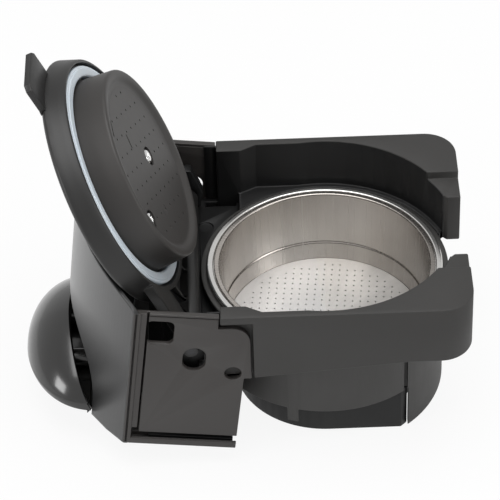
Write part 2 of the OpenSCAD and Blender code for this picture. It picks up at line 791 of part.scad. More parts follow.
module seal_ring() color("#aeb8bd") placed() lid_open() rotate_extrude() {
    seal_in = seal_r - seal_w;
    polygon([[seal_in, 0.4], [seal_in + 0.4, 0], [seal_r - 1, 0], [seal_r - 0.9, 0.3],
        [seal_r - 0.3, 0.3], [seal_r, 0.6], [seal_r, seal_t], [seal_in, seal_t]]);
}

module brew_piston() color("#3b3a38") placed() lid_open() difference() {
    rotate_extrude() polygon(concat([[bore_r, seal_t], [piston_top_r, seal_t], [piston_top_r, 1]],
        arc(piston_r - face_round, -piston_depth + face_round, face_round, 0, -90),
        [[dish_r - 1, -piston_depth + 0.4], [dish_r - 2.6, -piston_depth + dish_depth],
        [0, -piston_depth + dish_depth], [0, -inlet_depth], [bore_r, -inlet_depth]]));
    piston_screw_axes() translate([0, 0, -big]) cylinder(r = screw_well_r, h = big - piston_depth + 3);
    piston_screw_axes() cylinder(r = screw_r + fit_gap, h = big, center = true);
}

module piston_screw_axes() for (p = piston_screw_pts) translate([p[0], p[1], 0]) children();

module piston_screws() color("#c4c4c2") placed() lid_open() piston_screw_axes()
    translate([0, 0, -piston_depth + 3]) screw(piston_depth - 3 + seal_t);

carriage();
deck();
hinge_bracket();
right_side_plate();
left_side_plate();
front_frame();
fascia();
grip_recess();
dome_grip();
bottom_cover();
pod_holder();
holder_base();
outlet_spout();
holder_gasket();
hinge_pin();
hinge_bushes();
cover_screws();
grip_screws();
holder_screws();
filter_basket();
rim_ring();
strainer();
lid_cover();
lid_carrier();
lid_tab();
seal_ring();
brew_piston();
piston_screws();
inlet_spigot();
inlet_seal();
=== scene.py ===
"""The looks of a pull-out brewing unit for soft coffee pods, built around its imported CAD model.

Shapes are worked out in millimetres from the middle of the basket's rim, with the unit's rear
along +X and up along +Z. Pieces of the lid are worked out as if it were closed, and then swung
open. Blender's own lengths are metres.
"""
import json

import bmesh
import bpy
import numpy as np
from mathutils import Matrix, Vector, geometry


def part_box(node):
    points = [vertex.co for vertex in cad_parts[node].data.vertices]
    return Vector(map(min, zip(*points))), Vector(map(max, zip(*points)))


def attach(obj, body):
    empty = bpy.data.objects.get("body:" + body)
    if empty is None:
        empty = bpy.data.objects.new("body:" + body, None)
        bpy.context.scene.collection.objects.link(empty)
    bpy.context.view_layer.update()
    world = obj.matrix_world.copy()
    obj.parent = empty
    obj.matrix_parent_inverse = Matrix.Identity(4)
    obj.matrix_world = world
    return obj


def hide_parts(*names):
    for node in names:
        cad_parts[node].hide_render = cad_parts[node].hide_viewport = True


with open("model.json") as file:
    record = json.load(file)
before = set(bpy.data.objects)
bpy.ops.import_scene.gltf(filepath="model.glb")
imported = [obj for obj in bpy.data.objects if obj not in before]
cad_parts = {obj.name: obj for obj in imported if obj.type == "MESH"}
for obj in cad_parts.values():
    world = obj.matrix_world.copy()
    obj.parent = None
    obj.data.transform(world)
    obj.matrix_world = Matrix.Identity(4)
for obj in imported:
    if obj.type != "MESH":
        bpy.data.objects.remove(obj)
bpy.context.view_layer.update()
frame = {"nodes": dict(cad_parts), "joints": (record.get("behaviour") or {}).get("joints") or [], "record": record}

MM = 0.001

# ---------------------------------------------------------------- places taken from the frame

JOINTS = {joint["name"]: joint for joint in frame["joints"]}
HINGE = np.array(JOINTS["lid_hinge"]["pos_m"])
OPEN_ANGLE = np.radians(JOINTS["lid_hinge"]["range_deg"][1])
RIM_LOW, RIM_HIGH = (np.array(corner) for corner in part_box("rim_ring"))
RIM_CENTRE = np.array([(RIM_LOW[0] + RIM_HIGH[0]) / 2, 0.0, RIM_HIGH[2]])
LID_GAP = 0.3


def in_unit(points):
    """Millimetres from the rim's centre, as metres in the row frame."""
    return np.asarray(points) * MM + RIM_CENTRE


def on_open_lid(points):
    """Closed-lid millimetres, lifted off the rim and turned back about the hinge: each point's
    distances along X and Z from the hinge are turned by the open angle."""
    x, y, z = np.moveaxis(in_unit(np.asarray(points) + (0.0, 0.0, LID_GAP)) - HINGE, -1, 0)
    cosine, sine = np.cos(OPEN_ANGLE), np.sin(OPEN_ANGLE)
    return np.stack([x * cosine - z * sine, y, x * sine + z * cosine], -1) + HINGE


# ---------------------------------------------------------------- outlines


def circle(radius, sides, centre=(0.0, 0.0)):
    """The points centre + radius (cos a, sin a) at equal steps of a."""
    a = np.linspace(0.0, 2.0 * np.pi, sides, endpoint=False)
    return np.stack([np.cos(a), np.sin(a)], -1) * radius + centre


def stadium(start, end, width, sides=10):
    """A slot with round ends: two half circles whose centres are its two end points."""
    start, end = np.array(start), np.array(end)
    way = (end - start) / np.linalg.norm(end - start)
    across = np.array([-way[1], way[0]])
    a = np.linspace(-np.pi / 2, np.pi / 2, sides)[:, None]
    nose = (np.cos(a) * way + np.sin(a) * across) * width / 2
    return np.concatenate([end + nose, start - nose])


def lattice(step, other, origin, reach):
    """All points origin + i step + j other, for whole i and j, within a distance of the middle."""
    i, j = np.meshgrid(np.arange(-60, 61), np.arange(-60, 61))
    points = np.array(origin) + i[..., None] * np.array(step) + j[..., None] * np.array(other)
    points = points.reshape(-1, 2)
    return points[np.hypot(*points.T) < reach]


def eased(corners, radii, steps=6):
    """A closed outline whose corners are quadratic curves (1-t)^2 start + 2t(1-t) corner + t^2 end,
    each starting and ending a radius from its corner. Returns points and unit directions."""
    corner = np.array(corners, float)
    reach = np.maximum(np.broadcast_to(radii, len(corner)), 0.02)[:, None]
    to_last, to_next = np.roll(corner, 1, 0) - corner, np.roll(corner, -1, 0) - corner
    start = corner + to_last / np.linalg.norm(to_last, axis=1, keepdims=True) * reach
    end = corner + to_next / np.linalg.norm(to_next, axis=1, keepdims=True) * reach
    t = np.linspace(0.0, 1.0, steps + 1)[None, :, None]
    start, corner, end = start[:, None], corner[:, None], end[:, None]
    points = (1 - t) ** 2 * start + 2 * t * (1 - t) * corner + t ** 2 * end
    ways = (1 - t) * (corner - start) + t * (end - corner)
    ways = ways / np.linalg.norm(ways, axis=-1, keepdims=True)
    return points.reshape(-1, 2), ways.reshape(-1, 2)


# ---------------------------------------------------------------- surfaces
# A surface is a tuple of points, faces and normals. Its faces are a list of arrays of corners.


def turned(corners, radii, turns=192, steps=6):
    """An eased profile of radius r and height h carried round the axis: (r cos a, r sin a, h).
    Its normal is the profile's direction (dr, dh) turned to (dh cos a, dh sin a, -dr)."""
    outline, ways = eased(corners, radii, steps)
    x, y = outline.T
    if np.sum(x * np.roll(y, -1) - np.roll(x, -1) * y) < 0:
        outline, ways = outline[::-1], -ways[::-1]
    a = np.linspace(0.0, 2.0 * np.pi, turns, endpoint=False)[:, None]
    (r, h), (dr, dh) = outline.T, ways.T
    flat = np.zeros_like(a)
    points = np.stack([np.cos(a) * r, np.sin(a) * r, flat + h], -1).reshape(-1, 3)
    normals = np.stack([np.cos(a) * dh, np.sin(a) * dh, flat - dr], -1).reshape(-1, 3)
    index = np.arange(turns * len(outline)).reshape(turns, len(outline))
    across, along = np.roll(index, -1, 0), np.roll(index, -1, 1)
    both = np.roll(across, -1, 1)
    return points, [np.stack([index, across, both, along], -1).reshape(-1, 4)], normals


def enclosed(points, start, end):
    """True where a line to the right of a point crosses an odd number of edges."""
    x, y = points.T
    row, edge = np.nonzero((start[:, 1] > y[:, None]) != (end[:, 1] > y[:, None]))
    share = (y[row] - start[edge, 1]) / (end[edge, 1] - start[edge, 1])
    beyond = start[edge, 0] + share * (end[edge, 0] - start[edge, 0]) > x[row]
    return np.bincount(row, beyond, len(points)) % 2 == 1


def pierced_plate(outline, holes, low, high, between=None):
    """A flat plate with holes between two heights. Its outlines, and points between them, are
    triangulated together, and the triangles whose middle isn't enclosed by an odd number of
    outlines are left out. A wall stands under every edge that belongs to one triangle only."""
    rings = [outline, *holes]
    flat = np.concatenate(rings)
    sizes = np.array([len(ring) for ring in rings])
    first, length = np.repeat(np.cumsum(sizes) - sizes, sizes), np.repeat(sizes, sizes)
    index = np.arange(len(flat))
    edges = np.stack([index, first + (index - first + 1) % length], 1)
    start, end = flat[edges[:, 0]], flat[edges[:, 1]]
    if between is not None:
        flat = np.concatenate([flat, between[enclosed(between, start, end)]])
    found = geometry.delaunay_2d_cdt([Vector(point) for point in flat.tolist()], edges.tolist(),
                                     [], 0, 1e-7)
    corners, triangles = np.array([tuple(point) for point in found[0]]), np.array(found[2])
    triangles = triangles[enclosed(corners[triangles].mean(1), start, end)]

    p, q, r = np.moveaxis(corners[triangles], 1, 0)
    clockwise = np.cross(q - p, r - p) < 0
    triangles[clockwise] = triangles[clockwise][:, ::-1]
    sides = triangles[:, [0, 1, 1, 2, 2, 0]].reshape(-1, 2)
    count = len(corners)
    sides = sides[~np.isin(sides[:, 0] * count + sides[:, 1], sides[:, 1] * count + sides[:, 0])]

    def at(places, height):
        return np.concatenate([places, np.full((len(places), 1), height)], 1)

    start, end = corners[sides[:, 0]], corners[sides[:, 1]]
    walls = np.stack([at(start, low), at(end, low), at(end, high), at(start, high)], 1).reshape(-1, 3)
    way = (end - start) / np.linalg.norm(end - start, axis=1, keepdims=True)
    facing = np.repeat(np.stack([way[:, 1], -way[:, 0], 0 * way[:, 0]], 1), 4, 0)
    points = np.concatenate([at(corners, high), at(corners, low), walls])
    up = np.array([[0.0, 0.0, 1.0]])
    normals = np.concatenate([np.repeat(up, count, 0), np.repeat(-up, count, 0), facing])
    quads = np.arange(len(walls)).reshape(-1, 4) + 2 * count
    return points, [triangles, triangles[:, ::-1] + count, quads], normals


def rounded_plate(outline, low, high, edge, between=None, steps=4):
    """A plate whose edges are quarter rounds. Every outline point moves along its own outward
    direction n by edge (sin f - 1) while its height falls by edge (1 - cos f), for f from 0 to 90
    degrees, and the normal there is n sin f + up cos f. The flat faces fill the inset outline."""
    ahead, behind = np.roll(outline, -1, 0) - outline, outline - np.roll(outline, 1, 0)
    ahead /= np.linalg.norm(ahead, axis=1, keepdims=True)
    behind /= np.linalg.norm(behind, axis=1, keepdims=True)
    way = ahead + behind
    way /= np.linalg.norm(way, axis=1, keepdims=True)
    out = np.stack([way[:, 1], -way[:, 0]], 1)
    x, y = outline.T
    clockwise = np.sum(x * np.roll(y, -1) - np.roll(x, -1) * y) < 0
    if clockwise:
        out = -out
    f = np.linspace(0.0, np.pi / 2, steps + 1)[:, None]
    sine, cosine = np.sin(f), np.cos(f)
    spread = outline[None] + out[None] * (edge * (sine - 1.0))[:, :, None]
    drop = (edge * (1.0 - cosine)).repeat(len(x), 1)[..., None]
    lean = out[None] * sine[:, :, None]
    rise = cosine.repeat(len(x), 1)[..., None]
    rows = np.concatenate([np.concatenate([spread, high - drop], 2),
                           np.concatenate([spread, low + drop], 2)[::-1]])
    normals = np.concatenate([np.concatenate([lean, rise], 2),
                              np.concatenate([lean, -rise], 2)[::-1]])
    index = np.arange(rows.shape[0] * rows.shape[1]).reshape(rows.shape[:2])
    around = np.roll(index, -1, 1)
    band = np.stack([index[:-1], index[1:], around[1:], around[:-1]], -1).reshape(-1, 4)
    if clockwise:
        band = band[:, ::-1]
    points, faces, flat_normals = pierced_plate(spread[0], [], low, high, between)
    count = (len(points) - len(faces[2]) * 4) // 2
    flat = points[:2 * count], faces[:2], flat_normals[:2 * count]
    return joined([flat, (rows.reshape(-1, 3), [band], normals.reshape(-1, 3))])


def screw(base, length, head_r=2.6, head_h=1.6, shank_r=1.3, turns=72):
    """A pan-head screw. Rings (r cos a, r sin a, h) run from the middle of its socket's floor to
    the middle of its tip, and the socket's radius is 0.95 (1 + 0.16 cos 6a) at every angle."""
    a = np.linspace(0.0, 2.0 * np.pi, turns, endpoint=False)
    lobed = 0.95 * (1.0 + 0.16 * np.cos(6.0 * a))
    round_ = np.ones_like(a)
    crown = head_h - 0.02
    rings = [(lobed, -head_h + 0.9), (lobed, -crown), (lobed + 0.06, -head_h)]
    for share in (0.62, 0.78, 0.88, 0.95, 0.985, 1.0):
        rings.append((round_ * head_r * share, -head_h + 0.75 * share ** 8))
    rings += [(round_ * head_r, -0.12), (round_ * (head_r - 0.12), 0.0), (round_ * shank_r, 0.0),
              (round_ * shank_r, length - 0.4), (round_ * (shank_r - 0.4), length)]
    points = np.stack([np.stack([r * np.cos(a), r * np.sin(a), np.full_like(a, h)], -1)
                       for r, h in rings]).reshape(-1, 3)
    index = np.arange(len(points)).reshape(len(rings), turns)
    around = np.roll(index, -1, 1)
    quads = np.stack([index[:-1], index[1:], around[1:], around[:-1]], -1).reshape(-1, 4)
    ends = np.array([[0.0, 0.0, rings[0][1]], [0.0, 0.0, rings[-1][1]]])
    bottom = np.stack([np.full(turns, len(points)), index[0], around[0]], 1)
    top = np.stack([np.full(turns, len(points) + 1), around[-1], index[-1]], 1)
    faces = [part[:, ::-1] for part in (quads, bottom, top)]
    return np.concatenate([points, ends]) + np.asarray(base), faces, None


def joined(surfaces):
    """Several surfaces as one: the corners' numbers go on from one to the next."""
    shift = np.cumsum([0] + [len(points) for points, _, _ in surfaces])
    faces = [part + start for (_, parts, _), start in zip(surfaces, shift) for part in parts]
    normals = [normal for _, _, normal in surfaces]
    return (np.concatenate([points for points, _, _ in surfaces]), faces,
            None if normals[0] is None else np.concatenate(normals))


def new_piece(name, surface, place=in_unit):
    """An object at the origin whose mesh is a surface put in its place."""
    points, faces, normals = surface
    mesh = bpy.data.meshes.new(name)
    mesh.from_pydata(place(points).tolist(), [], [corner for part in faces for corner in part.tolist()])
    mesh.shade_smooth()
    if normals is not None:
        ways = place(points + normals) - place(points)
        ways /= np.linalg.norm(ways, axis=1, keepdims=True)
        mesh.normals_split_custom_set_from_vertices(ways.tolist())
    piece = bpy.data.objects.new(name, mesh)
    bpy.context.scene.collection.objects.link(piece)
    return piece


# ---------------------------------------------------------------- shader maths


class Socket:
    """A node's output. Arithmetic on it adds Math nodes."""

    def __init__(self, tree, output):
        self.tree = tree
        self.output = output

    def node(self, kind, settings=None, inputs=None, output=0):
        return add_node(self.tree, kind, settings, inputs, output)

    def math(self, operation, first, second=0.0):
        return self.node("ShaderNodeMath", {"operation": operation}, {0: first, 1: second})

    def __add__(self, other):
        return self.math("ADD", self, other)

    def __sub__(self, other):
        return self.math("SUBTRACT", self, other)

    def __mul__(self, other):
        return self.math("MULTIPLY", self, other)

    def __lt__(self, other):
        return self.math("LESS_THAN", self, other)

    __radd__ = __add__
    __rmul__ = __mul__


def add_node(tree, kind, settings=None, inputs=None, output=0):
    """Adds a node: its settings first, then the values or links of its sockets."""
    node = tree.nodes.new(kind)
    for name, value in (settings or {}).items():
        setattr(node, name, value)
    for name, value in (inputs or {}).items():
        if isinstance(value, Socket):
            tree.links.new(value.output, node.inputs[name])
        else:
            node.inputs[name].default_value = value
    return Socket(tree, node.outputs[output]) if node.outputs else None


def new_finish(name):
    """An empty material: returns it, its tree and its Object coordinates."""
    material = bpy.data.materials.new(name)
    material.use_nodes = True
    tree = material.node_tree
    tree.nodes.clear()
    place = add_node(tree, "ShaderNodeTexCoord", output="Object")
    return material, tree, place


def close_finish(tree, **inputs):
    """Ends a material in one Principled shader; underscores in names stand for spaces."""
    sockets = {name.replace("_", " "): value for name, value in inputs.items()}
    shader = add_node(tree, "ShaderNodeBsdfPrincipled", None, sockets)
    add_node(tree, "ShaderNodeOutputMaterial", None, {"Surface": shader})


def noise(place, scale, detail=3.0, roughness=0.5):
    """Noise with a number of grains to the metre."""
    return place.node("ShaderNodeTexNoise", None,
                      {"Vector": place, "Scale": scale, "Detail": detail, "Roughness": roughness})


def tint(place, colour, other, amount):
    """A colour that goes towards another by an amount from 0 to 1. Either may be a link."""
    first, second = (part if isinstance(part, Socket) else (*part, 1.0) for part in (colour, other))
    return add_node(place.tree, "ShaderNodeMix", {"data_type": "RGBA"},
                    {"Factor": amount, 6: first, 7: second}, 2)


def bump(place, height, distance):
    """Normals of a height that is 0 to 1 times a distance in metres."""
    return place.node("ShaderNodeBump", None,
                      {"Height": height, "Distance": distance, "Strength": 1.0})


def from_rim(place):
    """The place in metres from the middle of the basket's rim."""
    return place.node("ShaderNodeMapping", None,
                      {"Vector": place, "Location": tuple(-RIM_CENTRE)})


def scaled(colour, factor):
    return tuple(channel * factor for channel in colour)


def moulded_plastic(name, colour, roughness, grain_mm, grain_depth_mm, mottle=0.12, specular=0.5):
    """Plastic from a spark-eroded mould: fine grain in the surface and a faint mottle."""
    material, tree, place = new_finish(name)
    grain = noise(place, 1000.0 / grain_mm, 2.0)
    cloud = noise(place, 70.0, 4.0)
    base = tint(place, scaled(colour, 1.0 - mottle), scaled(colour, 1.0 + 2.0 * mottle),
                grain * 0.6 + cloud * 0.4)
    close_finish(tree,
                 Base_Color=base,
                 Roughness=roughness + (cloud - 0.5) * 0.16,
                 Specular_IOR_Level=specular,
                 Normal=bump(place, grain, grain_depth_mm * MM))
    return material


# The reach of the painted shade inside the carriage's well, in millimetres from the rim's middle.
WELL_HALF, WELL_REACH = 44.6, 45.35


def carriage_plastic(name, colour, inner, roughness, top_mm):
    """Grained charcoal outside; the walls of the well, which lie within its radius and below the
    arms' tops, are smoother, and their colour is painted nearly black as painted shade for the dark inside of the
    well."""
    material, tree, place = new_finish(name)
    grain = noise(place, 2600.0, 2.0)
    cloud = noise(place, 70.0, 4.0)
    outer = tint(place, scaled(colour, 0.86), scaled(colour, 1.22), grain * 0.6 + cloud * 0.4)
    here = from_rim(place)
    reach = here.node("ShaderNodeVectorMath", {"operation": "LENGTH"},
                      {0: here.node("ShaderNodeMapping", {"vector_type": "POINT"},
                                    {"Vector": here, "Scale": (1.0, 1.0, 0.0)})}, 1)
    height = here.node("ShaderNodeSeparateXYZ", None, {0: here}, 2)
    aside = here.node("ShaderNodeSeparateXYZ", None, {0: here}, 1)
    ahead = here.node("ShaderNodeSeparateXYZ", None, {0: here}, 0)
    beside = aside.math("ABSOLUTE", aside) < WELL_HALF * MM
    # Painted shade: inside the well the colour goes nearly black, and the surface is also a little smoother.
    well_painted_shade_mask = (reach.math("MAXIMUM", reach < WELL_REACH * MM, beside * (ahead < 0.0))
               * (height < top_mm * MM))
    close_finish(tree,
                 Base_Color=tint(place, outer, inner, well_painted_shade_mask),
                 Roughness=roughness + (cloud - 0.5) * 0.16 - well_painted_shade_mask * 0.1,
                 Specular_IOR_Level=0.42,
                 Normal=bump(place, grain, 0.010 * MM))
    return material


def smooth_plastic(name, colour, roughness, wave_mm=0.01, coat=0.0, coat_roughness=0.05, specular=0.5):
    """Polished plastic: nearly flat, with slight long waves and fine hazing."""
    material, tree, place = new_finish(name)
    wave = noise(place, 60.0, 2.0)
    haze = noise(place, 300.0, 3.0)
    close_finish(tree,
                 Base_Color=tint(place, scaled(colour, 0.96), scaled(colour, 1.06), haze),
                 Roughness=roughness + (haze - 0.5) * 0.04,
                 Specular_IOR_Level=specular,
                 Coat_Weight=coat,
                 Coat_Roughness=coat_roughness,
                 Normal=bump(place, wave, wave_mm * MM))
    return material


def drawn_steel(name, colour, roughness, streak=0.12, depth_mm=0.0005):
    """Steel drawn into a cup: fine lines run up its wall and out over its floor. They are noise
    on the direction from the cup's axis alone, so they are straight along every profile. The
    steel's colour is also painted a little lighter towards -X, as a painted highlight."""
    material, tree, place = new_finish(name)
    here = from_rim(place)
    outward = here.node("ShaderNodeVectorMath", {"operation": "NORMALIZE"},
                        {0: here.node("ShaderNodeMapping", None,
                                      {"Vector": here, "Scale": (1.0, 1.0, 0.0)})})
    fine = noise(outward, 90.0, 3.0, 0.6)
    broad = noise(outward, 5.0, 2.0)
    cloud = noise(place, 140.0, 3.0)
    # Painted highlight: the steel's colour is lighter towards -X.
    painted_highlight_leftward = here.node("ShaderNodeVectorMath", {"operation": "DOT_PRODUCT"},
                         {0: outward, 1: (-1.0, 0.25, 0.0)}, "Value")
    # The drawn lines and random tone are the steel's own; the lean towards -X is painted highlight.
    level = painted_highlight_leftward * 0.3 + 0.15 + fine * streak + broad * 0.5 + cloud * (0.3 - streak)
    close_finish(tree,
                 Base_Color=tint(place, scaled(colour, 0.68), scaled(colour, 1.45), level),
                 Metallic=1.0,
                 Roughness=roughness + (fine - 0.5) * 0.04,
                 Normal=bump(place, fine, depth_mm * MM))
    return material


def polished_steel(name, colour, roughness):
    """Bright steel with faint smears."""
    material, tree, place = new_finish(name)
    cloud = noise(place, 220.0, 4.0)
    close_finish(tree,
                 Base_Color=tint(place, scaled(colour, 0.88), colour, cloud),
                 Metallic=1.0,
                 Roughness=roughness + (cloud - 0.5) * 0.06)
    return material


def pale_silicone(name, colour):
    """Milky silicone rubber: soft scatter under a satin skin."""
    material, tree, place = new_finish(name)
    cloud = noise(place, 150.0, 3.0)
    cool = tuple(channel * factor for channel, factor in zip(colour, (0.86, 0.93, 1.0)))
    close_finish(tree,
                 Base_Color=tint(place, cool, colour, cloud),
                 Roughness=0.32 + cloud * 0.08,
                 Subsurface_Weight=0.35,
                 Subsurface_Radius=(0.003, 0.003, 0.003),
                 Subsurface_Scale=0.5)
    return material


CHARCOAL = (0.029, 0.028, 0.0267)
# Painted shade for the walls inside the carriage's well.
WELL_PAINTED_SHADE = (0.003, 0.003, 0.0032)
INNER_BLACK = (0.004, 0.004, 0.0042)
PLATE_BROWN = (0.032, 0.0288, 0.027)
GLOSS_BLACK = (0.010, 0.010, 0.0105)
GRIP_BLACK = (0.010, 0.0096, 0.0092)
LID_BLACK = (0.008, 0.0077, 0.0074)
PISTON_BLACK = (0.027, 0.0247, 0.023)
ARM_TOP = 17.5

FINISHES = {
    # The carriage's well walls carry painted shade, nearly black.
    "carriage_plastic": carriage_plastic("charcoal_with_painted_well_shade", CHARCOAL, WELL_PAINTED_SHADE, 0.62, ARM_TOP - 0.4),
    "inner_plastic": moulded_plastic("inner_black", INNER_BLACK, 0.5, 0.6, 0.006, specular=0.4),
    "side_plastic": smooth_plastic("plate_brown", PLATE_BROWN, 0.45, 0.004),
    "fascia_plastic": smooth_plastic("gloss_black", GLOSS_BLACK, 0.34, 0.002, 0.6, 0.3),
    "grip_plastic": smooth_plastic("grip_black", GRIP_BLACK, 0.22, 0.003, 0.6, 0.12),
    "holder_plastic": moulded_plastic("holder_charcoal", CHARCOAL, 0.6, 0.4, 0.008),
    "lid_plastic": smooth_plastic("lid_black", LID_BLACK, 0.45, 0.004),
    "piston_plastic": smooth_plastic("piston_black", PISTON_BLACK, 0.5, 0.003),
    "seal_silicone": pale_silicone("pale_silicone", (0.62, 0.66, 0.69)),
    "gasket_rubber": moulded_plastic("black_rubber", (0.01, 0.01, 0.01), 0.7, 0.5, 0.01),
    "basket_steel": drawn_steel("drawn_steel", (0.36, 0.335, 0.31), 0.27),
    "rim_steel": polished_steel("bright_rim", (0.78, 0.77, 0.75), 0.24),
    "pin_steel": polished_steel("black_oxide_pin", (0.06, 0.06, 0.062), 0.35),
    "bush_plastic": moulded_plastic("bush_black", (0.02, 0.02, 0.02), 0.5, 0.5, 0.004),
    "screw_steel": polished_steel("screw_steel", (0.80, 0.80, 0.79), 0.16),
}
# The strainer's steel carries the same painted highlight towards -X.
STRAINER_STEEL = drawn_steel("bright_drawn_steel", (0.88, 0.87, 0.85), 0.40, 0.2, 0.002)
SLOTS = {part["node"]: part["material_slot"] for part in frame["record"]["subparts"]}
BODY_OF = {node: body for body, nodes in frame["record"]["behaviour"]["bodies"].items()
           for node in nodes}

# ---------------------------------------------------------------- dressing the CAD nodes

SHARP_DEG, FLAT_DEG, DOUBLED = 28.0, 0.2, 2e-6


def stands_for(piece, *nodes):
    """A new piece takes finish, slot and body from the first CAD node that it replaces."""
    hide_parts(*nodes)
    piece.data.materials.clear()
    piece.data.materials.append(FINISHES[SLOTS[nodes[0]]])
    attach(piece, BODY_OF[nodes[0]])
    return piece


def new_trim(piece, slot, neighbour):
    """A small piece of its own that rides with a CAD node."""
    piece.data.materials.clear()
    piece.data.materials.append(FINISHES[slot])
    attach(piece, BODY_OF[neighbour])
    return piece


def eased_edges(piece, width_mm):
    """Rounds the sharp edges of a piece and keeps its flat faces flat in the light."""
    piece.data.shade_smooth()
    edge = piece.modifiers.new("edges", "BEVEL")
    edge.width = width_mm * MM
    edge.segments = 2
    edge.limit_method = "ANGLE"
    edge.angle_limit = np.radians(SHARP_DEG)
    edge.use_clamp_overlap = False
    edge.harden_normals = True
    return piece


def merged(piece):
    """Joins the doubled points of a piece made as separate sheets, and turns its faces outward."""
    shape = bmesh.new()
    shape.from_mesh(piece.data)
    bmesh.ops.remove_doubles(shape, verts=shape.verts, dist=DOUBLED)
    bmesh.ops.recalc_face_normals(shape, faces=shape.faces)
    shape.to_mesh(piece.data)
    shape.free()
    return piece


def softened(node, width_mm):
    """A copy of a CAD node with its seams merged and its sharp edges rounded off."""
    source = frame["nodes"][node]
    shape = bmesh.new()
    shape.from_mesh(source.data)
    bmesh.ops.remove_doubles(shape, verts=shape.verts, dist=DOUBLED)
    bmesh.ops.dissolve_limit(shape, angle_limit=np.radians(FLAT_DEG), verts=shape.verts,
                             edges=shape.edges)
    mesh = bpy.data.meshes.new(node + "_soft")
    shape.to_mesh(mesh)
    shape.free()
    piece = bpy.data.objects.new(node + "_soft", mesh)
    bpy.context.scene.collection.objects.link(piece)
    return stands_for(eased_edges(piece, width_mm), node)


EDGE_MM = {
    "carriage": 0.45, "deck": 0.25, "hinge_bracket": 0.25, "right_side_plate": 0.25,
    "left_side_plate": 0.25, "front_frame": 0.25, "grip_recess": 0.25, "bottom_cover": 0.3,
    "pod_holder": 0.3, "holder_base": 0.4, "outlet_spout": 0.2, "lid_cover": 0.3, "lid_tab": 0.3,
}
for node_name, edge_mm in EDGE_MM.items():
    softened(node_name, edge_mm)

for node_name, cad_object in frame["nodes"].items():
    cad_object.data.materials.clear()
    cad_object.data.materials.append(FINISHES[SLOTS[node_name]])
    cad_object.data.shade_smooth()

# ---------------------------------------------------------------- curved front and its dome

FRONT_TILT = np.radians(6.8)
FRONT_R, FRONT_T, FRONT_HALF = 64.0, 1.3, 47.1
FRONT_AXIS = -66.77 + np.sqrt(FRONT_R ** 2 - FRONT_HALF ** 2)
FRONT_FOOT, FRONT_TOP, FRONT_RISE = -46.4, 13.0, 10.8
SCOOP_HALF, SCOOP_LIFT, SCOOP_H, SCOOP_POWER = 33.7, 4.4, 26.0, 2.6


def in_front(points):
    """The front's own frame, which leans by its tilt, as metres in the row frame."""
    x, y, z = np.moveaxis(np.asarray(points), -1, 0)
    cosine, sine = np.cos(FRONT_TILT), np.sin(FRONT_TILT)
    return in_unit(np.stack([x * cosine + z * sine, y, z * cosine - x * sine], -1))


def on_curved_front(points):
    """Half width, height and height above the outer face, wrapped on the front's cylinder:
    x = axis - sqrt((radius + height)^2 - y^2)."""
    across, up, over = np.moveaxis(np.asarray(points), -1, 0)
    ahead = FRONT_AXIS - np.sqrt((FRONT_R + over) ** 2 - across ** 2)
    return in_front(np.stack([ahead, -across, up], -1))


def curved_front():
    """The front's outline: straight sides, a top edge of rise (1 - (y/half)^2)^0.6 and a scoop
    whose edge is the curve |y/a|^2.6 + |z/b|^2.6 = 1 over two upright sides."""
    y = np.sin(np.linspace(-np.pi / 2, np.pi / 2, 90)) * FRONT_HALF
    rise = np.maximum(0.0, 1.0 - (y / FRONT_HALF) ** 2) ** 0.6
    top = np.stack([-y, FRONT_TOP + FRONT_RISE * rise], -1)
    a = np.linspace(0.0, np.pi, 90)
    power = 2.0 / SCOOP_POWER
    scoop = np.stack([-SCOOP_HALF * np.sign(np.cos(a)) * np.abs(np.cos(a)) ** power,
                      FRONT_FOOT + SCOOP_LIFT + SCOOP_H * np.sin(a) ** power], -1)
    sides = FRONT_FOOT + np.linspace(0.0, SCOOP_LIFT, 4)[:-1]
    left = np.stack([np.full(3, -SCOOP_HALF), sides], -1)
    right = np.stack([np.full(3, SCOOP_HALF), sides[::-1]], -1)
    outline = np.concatenate([[(-FRONT_HALF, FRONT_FOOT), (-41.0, FRONT_FOOT)], left, scoop, right,
                              [(41.0, FRONT_FOOT), (FRONT_HALF, FRONT_FOOT)], top])
    grid = np.meshgrid(np.arange(-45.6, 46, 1.2), np.arange(-45.4, 23.4, 2.0))
    grid = np.stack(grid, -1).reshape(-1, 2)
    near = np.linalg.norm(grid[:, None] - outline[None], axis=2).min(1) > 1.1
    return rounded_plate(outline, -FRONT_T, 0.0, 0.4, grid[near])


DOME_AT = (-79.0, -45.3)
DOME_REACH, DOME_HALF, DOME_H, DOME_WALL = 22.0, 33.2, 18.2, 2.0
DOME_SQUARE, DOME_BLUNT = 1.1, 0.95
RIM_LEAN = (-1.1, 9.0)


